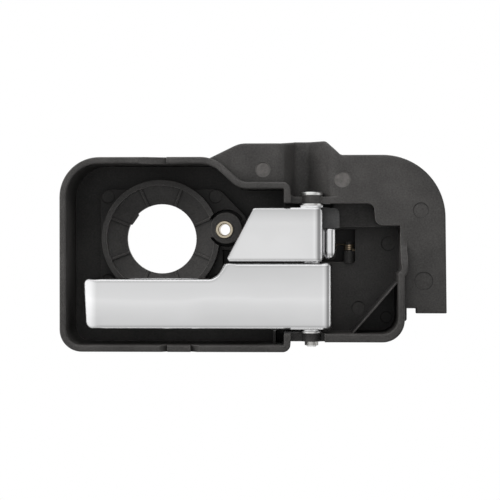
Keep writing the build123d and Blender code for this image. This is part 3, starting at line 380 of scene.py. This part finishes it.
def bright_metal(name, colour, tint, rough, fine):
    """Plated metal between two colours, with fine drawn marks and a little unevenness in its gloss."""
    material, tree, shader = new_material(name)
    shader.inputs["Metallic"].default_value = 1.0
    texture = place_group(tree, grain, Grain_Scale=fine, Mottle_Scale=metal_mottle)
    edge = place_group(tree, edges, Radius=metal_edge)
    film = add_node(tree, "ShaderNodeMix", data_type="RGBA")
    film.inputs["A"].default_value = (*colour, 1.0)
    film.inputs["B"].default_value = (*tint, 1.0)
    gloss = add_node(tree, "ShaderNodeMapRange")
    gloss.inputs["To Min"].default_value = rough * (1.0 - metal_gloss_share)
    gloss.inputs["To Max"].default_value = rough * (1.0 + metal_gloss_share)
    relief = add_node(tree, "ShaderNodeBump")
    relief.inputs["Strength"].default_value = metal_mark_strength
    relief.inputs["Distance"].default_value = metal_mark_depth
    tree.links.new(texture.outputs["Mottle"], film.inputs["Factor"])
    tree.links.new(film.outputs["Result"], shader.inputs["Base Color"])
    tree.links.new(texture.outputs["Mottle"], gloss.inputs["Value"])
    tree.links.new(gloss.outputs["Result"], shader.inputs["Roughness"])
    tree.links.new(texture.outputs["Height"], relief.inputs["Height"])
    tree.links.new(edge.outputs["Normal"], relief.inputs["Normal"])
    tree.links.new(relief.outputs["Normal"], shader.inputs["Normal"])
    return material


sleeve_metal = bright_metal(
    "sleeve_metal", colour=(0.86, 0.78, 0.62), tint=(0.62, 0.54, 0.40), rough=0.36, fine=3000.0
)
finish_node("fixing_sleeve", sleeve_metal)

# The turned groove round the sleeve's end face, darkened with painted shade
groove_r = 0.0034
groove_skin = -0.0135
groove_shade_share = 0.5
groove_shade_tone = (0.090, 0.075, 0.055)
sleeve_tree = sleeve_metal.node_tree
sleeve_shader = sleeve_tree.nodes["Principled BSDF"]
groove = place_group(sleeve_tree, marks, Radius=groove_r, Skin=groove_skin)
groove_shaded = add_node(sleeve_tree, "ShaderNodeMath", operation="MULTIPLY")
groove_shaded.inputs[1].default_value = groove_shade_share
grooved = add_node(sleeve_tree, "ShaderNodeMix", data_type="RGBA")
grooved.inputs["B"].default_value = (*groove_shade_tone, 1.0)
sleeve_tree.links.new(groove.outputs["Line"], groove_shaded.inputs[0])
sleeve_tree.links.new(groove_shaded.outputs["Value"], grooved.inputs["Factor"])
sleeve_tree.links.new(sleeve_shader.inputs["Base Color"].links[0].from_socket, grooved.inputs["A"])
sleeve_tree.links.new(grooved.outputs["Result"], sleeve_shader.inputs["Base Color"])

# Pivot stack: a plated steel pin with a low domed head, the push-on retainer at its other end
# and a washer inside each lug. All are stamped or headed, so they are bright but not polished.
drawn_fine = 2500.0
pin_steel = bright_metal(
    "pin_steel", colour=(0.86, 0.86, 0.85), tint=(0.74, 0.74, 0.73), rough=0.4, fine=drawn_fine
)
retainer_steel = bright_metal(
    "retainer_steel", colour=(0.62, 0.61, 0.59), tint=(0.48, 0.47, 0.45), rough=0.38, fine=drawn_fine
)
washer_steel = bright_metal(
    "washer_steel", colour=(0.74, 0.74, 0.73), tint=(0.62, 0.61, 0.6), rough=0.3, fine=drawn_fine
)
finish_node("pivot_pin", pin_steel)
finish_node("pin_retainer", retainer_steel)
finish_node("upper_washer", washer_steel)
finish_node("lower_washer", washer_steel)

# Lever and lock button: moulded plastic with bright chrome plating over every face.
# The plating is nearly a mirror, and it follows the faint sink and ripple of the plastic under it.
chrome = (0.675, 0.676, 0.680)
ripple_scale = 45.0
ripple_detail = 0.5
ripple_height = 0.0003
haze_scale = 120.0
clearest = 0.02
haziest = 0.07
plated_edge = 0.0012
roll_power = 2.0


def chrome_plating(name, end_x, top_z, roll, roll_drop):
    """Bright chrome with a long shallow ripple, whose face falls away a little toward its right end."""
    material, tree, shader = new_material(name)
    shader.inputs["Metallic"].default_value = 1.0
    shader.inputs["Base Color"].default_value = (*chrome, 1.0)
    texture = place_group(
        tree, grain, Grain_Scale=ripple_scale, Grain_Detail=ripple_detail, Mottle_Scale=haze_scale
    )
    edge = place_group(tree, edges, Radius=plated_edge)
    place = add_node(tree, "ShaderNodeTexCoord")
    axes = add_node(tree, "ShaderNodeSeparateXYZ")
    near_end = add_node(tree, "ShaderNodeMapRange")
    near_end.inputs["From Min"].default_value = end_x - roll
    near_end.inputs["From Max"].default_value = end_x
    fall = add_node(tree, "ShaderNodeMath", operation="POWER")
    fall.inputs[1].default_value = roll_power
    on_face = add_node(tree, "ShaderNodeMath", operation="LESS_THAN")
    on_face.inputs[1].default_value = top_z
    facing_fall = add_node(tree, "ShaderNodeMath", operation="MULTIPLY")
    dropped = add_node(tree, "ShaderNodeMath", operation="MULTIPLY")
    dropped.inputs[1].default_value = -roll_drop
    level = add_node(tree, "ShaderNodeMath", operation="MULTIPLY_ADD")
    level.inputs[1].default_value = ripple_height
    gloss = add_node(tree, "ShaderNodeMapRange")
    gloss.inputs["To Min"].default_value = clearest
    gloss.inputs["To Max"].default_value = haziest
    relief = add_node(tree, "ShaderNodeBump")
    relief.inputs["Distance"].default_value = 1.0
    tree.links.new(texture.outputs["Mottle"], gloss.inputs["Value"])
    tree.links.new(gloss.outputs["Result"], shader.inputs["Roughness"])
    tree.links.new(place.outputs["Object"], axes.inputs["Vector"])
    tree.links.new(axes.outputs["X"], near_end.inputs["Value"])
    tree.links.new(near_end.outputs["Result"], fall.inputs[0])
    tree.links.new(axes.outputs["Z"], on_face.inputs[0])
    tree.links.new(fall.outputs["Value"], facing_fall.inputs[0])
    tree.links.new(on_face.outputs["Value"], facing_fall.inputs[1])
    tree.links.new(facing_fall.outputs["Value"], dropped.inputs[0])
    tree.links.new(texture.outputs["Height"], level.inputs[0])
    tree.links.new(dropped.outputs["Value"], level.inputs[2])
    tree.links.new(level.outputs["Value"], relief.inputs["Height"])
    tree.links.new(edge.outputs["Normal"], relief.inputs["Normal"])
    tree.links.new(relief.outputs["Normal"], shader.inputs["Normal"])
    return material


finish_node("pull_lever", chrome_plating(
    "lever_chrome", end_x=0.0496, top_z=-0.0138, roll=0.0056, roll_drop=0.00140
))
finish_node("lock_paddle", chrome_plating(
    "button_chrome", end_x=0.0453, top_z=0.02, roll=0.0054, roll_drop=0.00135
))

# Lock crank: the plain black moulding under the lock button, in a tougher unfilled plastic.
# It is a little greyer and smoother than the housing, because it runs on the pin.
finish_node("lock_crank", moulded_plastic(
    "crank_moulding",
    dark=(0.042, 0.042, 0.042),
    light=(0.078, 0.078, 0.078),
    # tone of the painted highlight on outer edges
    edge_highlight_tone=(0.10, 0.10, 0.10),
    rough=0.45,
    radius=0.0003,
    bump=0.3,
))

# Springs: drawn steel wire, wound round and left with straight ends that bear on their stops.
# The lever's return spring is plain steel, and the lock's detent spring is yellow passivated.
wire_sides = 12
steps_per_turn = 28
wire_smooth = math.radians(50.0)


def wound_spring(name, axis_point, coil_r, wire, pitch, turns, start, tail, leg):
    """Round wire wound up Z from the start angle, its two straight ends drawn out along tail and leg."""
    bpy.ops.mesh.primitive_circle_add(
        vertices=wire_sides, radius=wire / 2, fill_type="NOTHING", location=(coil_r, 0.0, 0.0),
        rotation=(math.radians(90.0), 0.0, 0.0),
    )
    spring = bpy.context.object
    spring.name = name
    bpy.ops.object.transform_apply(location=True, rotation=True, scale=True)
    winding = spring.modifiers.new("winding", "SCREW")
    winding.angle = 2 * math.pi * turns
    winding.screw_offset = pitch * turns
    winding.steps = round(steps_per_turn * turns)
    winding.render_steps = winding.steps
    winding.use_smooth_shade = True
    bpy.ops.object.modifier_apply(modifier=winding.name)
    spring.rotation_euler = (0.0, 0.0, start)
    spring.location = axis_point
    bpy.ops.object.transform_apply(location=True, rotation=True, scale=True)
    ends = []
    for angle, rise in ((start, 0.0), (start + 2 * math.pi * turns, pitch * turns)):
        out = Vector((coil_r * math.cos(angle), coil_r * math.sin(angle), rise))
        ends.append(Vector(axis_point) + out)
    for end, draw in zip(ends, (tail, leg)):
        bpy.ops.object.mode_set(mode="EDIT")
        bpy.ops.mesh.select_all(action="DESELECT")
        bpy.ops.mesh.select_mode(type="EDGE")
        bpy.ops.mesh.select_non_manifold(
            extend=False, use_wire=False, use_boundary=True, use_multi_face=False,
            use_non_contiguous=False, use_verts=False,
        )
        bpy.ops.object.mode_set(mode="OBJECT")
        points = spring.data.vertices
        for line in spring.data.edges:
            middle = (points[line.vertices[0]].co + points[line.vertices[1]].co) / 2
            line.select = line.select and (middle - end).length < wire
        for point in points:
            point.select = False
        bpy.ops.object.mode_set(mode="EDIT")
        bpy.ops.mesh.select_mode(type="EDGE")
        bpy.ops.mesh.extrude_region_move(TRANSFORM_OT_translate={"value": draw})
        bpy.ops.mesh.edge_face_add()
        bpy.ops.mesh.select_all(action="SELECT")
        bpy.ops.mesh.normals_make_consistent(inside=False)
        bpy.ops.object.mode_set(mode="OBJECT")
    bpy.ops.object.shade_smooth_by_angle(angle=wire_smooth)
    return spring


pivot_x = 0.0401
pivot_y = -0.0245
return_foot_z = -0.0346
return_spring = wound_spring(
    "return_spring_wire",
    (pivot_x, pivot_y, return_foot_z),
    coil_r=0.0040,
    wire=0.0012,
    pitch=0.0014,
    turns=5.25,
    start=math.radians(180.0),
    tail=(0.0, 0.0130, 0.0),
    leg=(0.0072, 0.0, 0.0),
)
spring_wire = bright_metal(
    "spring_wire", colour=(0.45, 0.45, 0.44), tint=(0.33, 0.33, 0.32), rough=0.32, fine=drawn_fine
)
return_spring.data.materials.append(spring_wire)
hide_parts("lever_return_spring")
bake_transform(return_spring)

detent_foot = (0.0576, -0.0090, -0.0095)
detent_slope = math.radians(15.0)
detent_leg = 0.0146
detent_spring = wound_spring(
    "detent_spring_wire",
    detent_foot,
    coil_r=0.0020,
    wire=0.0008,
    pitch=0.0009,
    turns=3 - detent_slope / (2 * math.pi),
    start=math.radians(90.0),
    tail=(0.0050, 0.0, 0.0),
    leg=(-detent_leg * math.cos(detent_slope), detent_leg * math.sin(detent_slope), 0.0),
)
detent_wire = bright_metal(
    "detent_wire", colour=(0.62, 0.53, 0.42), tint=(0.40, 0.30, 0.18), rough=0.3, fine=drawn_fine
)
detent_spring.data.materials.append(detent_wire)
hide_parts("lock_detent_spring")
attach(detent_spring, "housing")

# Bump stop: a soft black rubber clip on the edge of the release slot, pushed on by hand.
# Rubber has no sheen to speak of, and its moulded skin is a little dusty.
finish_node("lever_bump_stop", moulded_plastic(
    "bump_rubber",
    dark=(0.010, 0.010, 0.010),
    light=(0.026, 0.026, 0.025),
    # tone of the painted highlight on outer edges
    edge_highlight_tone=(0.035, 0.035, 0.034),
    rough=0.75,
    radius=0.0003,
    bump=0.5,
))

# Studio: a pale floor well under the part, a white surround, a key softbox at the left, two weaker ones.
# The floor fades to plain white away from the part, so that only the part's soft shadow shows on it.
floor_size = 4.0
floor_tone = (0.9, 0.9, 0.9)
floor_rough = 0.8
floor_drop = 0.10
floor_shadow_start = 0.08
floor_shadow_end = 0.15
bpy.ops.mesh.primitive_plane_add(size=floor_size, location=(0.0, 0.0, cad_box[0].z - floor_drop))
floor = bpy.context.object
floor.name = "floor"
floor.visible_glossy = False
floor_material, floor_tree, floor_shader = new_material("pale_floor")
floor_shader.inputs["Base Color"].default_value = (*floor_tone, 1.0)
floor_shader.inputs["Roughness"].default_value = floor_rough
floor_white = add_node(floor_tree, "ShaderNodeEmission")
floor_seen = add_node(floor_tree, "ShaderNodeMixShader")
floor_place = add_node(floor_tree, "ShaderNodeTexCoord")
floor_away = add_node(floor_tree, "ShaderNodeVectorMath", operation="LENGTH")
floor_fade = add_node(floor_tree, "ShaderNodeMapRange", interpolation_type="SMOOTHSTEP")
floor_fade.inputs["From Min"].default_value = floor_shadow_start
floor_fade.inputs["From Max"].default_value = floor_shadow_end
floor_path = add_node(floor_tree, "ShaderNodeLightPath")
floor_plain = add_node(floor_tree, "ShaderNodeMath", operation="MULTIPLY")
floor_tree.links.new(floor_place.outputs["Object"], floor_away.inputs[0])
floor_tree.links.new(floor_away.outputs["Value"], floor_fade.inputs["Value"])
floor_tree.links.new(floor_fade.outputs["Result"], floor_plain.inputs[0])
floor_tree.links.new(floor_path.outputs["Is Camera Ray"], floor_plain.inputs[1])
floor_tree.links.new(floor_plain.outputs["Value"], floor_seen.inputs["Fac"])
floor_tree.links.new(floor_shader.outputs["BSDF"], floor_seen.inputs[1])
floor_tree.links.new(floor_white.outputs["Emission"], floor_seen.inputs[2])
floor_tree.links.new(floor_seen.outputs["Shader"], floor_tree.nodes["Material Output"].inputs["Surface"])
floor.data.materials.append(floor_material)

# The white surround: seen as plain white, dimmer as a light, and in polished metal as the wall below
ambient_level = 0.40
white = (1.0, 1.0, 1.0, 1.0)
scene = bpy.context.scene
scene.view_settings.view_transform = "Standard"
world = bpy.data.worlds.new("white_surround")
scene.world = world
world.use_nodes = True
sky = world.node_tree
ambient = sky.nodes["Background"]
ambient.inputs["Strength"].default_value = ambient_level
plain_white = add_node(sky, "ShaderNodeBackground")
reflected = add_node(sky, "ShaderNodeBackground")
for surround in (ambient, plain_white, reflected):
    surround.inputs["Color"].default_value = white

# What polished metal sees: a white wall in front, dimmer below and high up, with a dark flag at right
wall_by_height = (
    (-1.0, 1.1), (-0.8, 0.9), (-0.6, 0.5), (-0.4, 0.6), (-0.3, 0.68), (-0.18, 0.82),
    (-0.12, 0.92), (-0.06, 0.99), (-0.03, 1.05), (-0.012, 1.08), (0.0, 1.02), (0.05, 0.98),
    (0.12, 0.92), (0.19, 0.86), (0.3, 0.74), (0.5, 0.66), (0.65, 1.0), (0.8, 1.6), (1.0, 1.7),
)
wall_by_side = (
    (-1.0, 1.5), (-0.7, 1.4), (-0.4, 1.0), (0.1, 1.0), (0.28, 1.1),
    (0.42, 0.85), (0.55, 0.35), (0.8, 0.35), (0.88, 1.3), (1.0, 1.5),
)
sky_way = add_node(sky, "ShaderNodeTexCoord")
sky_axes = add_node(sky, "ShaderNodeSeparateXYZ")
sky.links.new(sky_way.outputs["Generated"], sky_axes.inputs["Vector"])
wall_levels = []
for axis, stops in (("Z", wall_by_height), ("X", wall_by_side)):
    rise = add_node(sky, "ShaderNodeMapRange")
    rise.inputs["From Min"].default_value = -1.0
    ramp = add_node(sky, "ShaderNodeValToRGB")
    for place, level in stops:
        stop = ramp.color_ramp.elements.new((place + 1.0) / 2.0)
        stop.color = (level, level, level, 1.0)
    sky.links.new(sky_axes.outputs[axis], rise.inputs["Value"])
    sky.links.new(rise.outputs["Result"], ramp.inputs["Fac"])
    wall_levels.append(ramp.outputs["Color"])
wall_level = add_node(sky, "ShaderNodeMath", operation="MULTIPLY")
sky_path = add_node(sky, "ShaderNodeLightPath")
sky_seen = add_node(sky, "ShaderNodeMath", operation="ADD", use_clamp=True)
sky_shiny = add_node(sky, "ShaderNodeMixShader")
sky_all = add_node(sky, "ShaderNodeMixShader")
sky.links.new(wall_levels[0], wall_level.inputs[0])
sky.links.new(wall_levels[1], wall_level.inputs[1])
sky.links.new(wall_level.outputs["Value"], reflected.inputs["Strength"])
sky.links.new(sky_path.outputs["Is Glossy Ray"], sky_shiny.inputs["Fac"])
sky.links.new(ambient.outputs["Background"], sky_shiny.inputs[1])
sky.links.new(reflected.outputs["Background"], sky_shiny.inputs[2])
sky.links.new(sky_path.outputs["Is Camera Ray"], sky_seen.inputs[0])
sky.links.new(sky_path.outputs["Is Transmission Ray"], sky_seen.inputs[1])
sky.links.new(sky_seen.outputs["Value"], sky_all.inputs["Fac"])
sky.links.new(sky_shiny.outputs["Shader"], sky_all.inputs[1])
sky.links.new(plain_white.outputs["Background"], sky_all.inputs[2])
sky.links.new(sky_all.outputs["Shader"], sky.nodes["World Output"].inputs["Surface"])


def softbox(name, place, width, height, power):
    """Area lamp aimed at the screw sleeve, which shiny pieces see only as part of the white wall."""
    lamp = bpy.data.lights.new(name, "AREA")
    lamp.shape = "RECTANGLE"
    lamp.size = width
    lamp.size_y = height
    lamp.energy = power
    holder = bpy.data.objects.new(name, lamp)
    holder.location = place
    holder.visible_glossy = False
    holder.rotation_euler = (-Vector(place)).to_track_quat("-Z", "Y").to_euler()
    scene.collection.objects.link(holder)


softbox("key_softbox", place=(-0.42, -0.24, 0.26), width=0.30, height=0.30, power=3.1)
softbox("overhead_softbox", place=(0.05, -0.15, 0.20), width=0.40, height=0.10, power=0.72)
softbox("right_softbox", place=(0.70, -0.60, 0.10), width=0.5, height=0.5, power=1.0)

# Camera: opposite the lever's pivot, as the view into the pocket and past the lugs shows.
# It is turned a little to the photograph's middle, where the part's front is 0.45 mm to a pixel.
frame_width = 0.2243
camera_back = 0.640
camera_place = Vector((0.0344, cad_box[0].y - camera_back, -0.0040))
frame_middle = Vector((0.01245, cad_box[0].y, -0.00925))
camera_aim = frame_middle - camera_place
camera = bpy.data.cameras.new("camera")
camera.sensor_width = 36.0
camera.lens = camera.sensor_width * camera_aim.length / frame_width
camera_object = bpy.data.objects.new("camera", camera)
camera_object.location = camera_place
camera_object.rotation_euler = camera_aim.to_track_quat("-Z", "Y").to_euler()
scene.collection.objects.link(camera_object)
scene.camera = camera_object
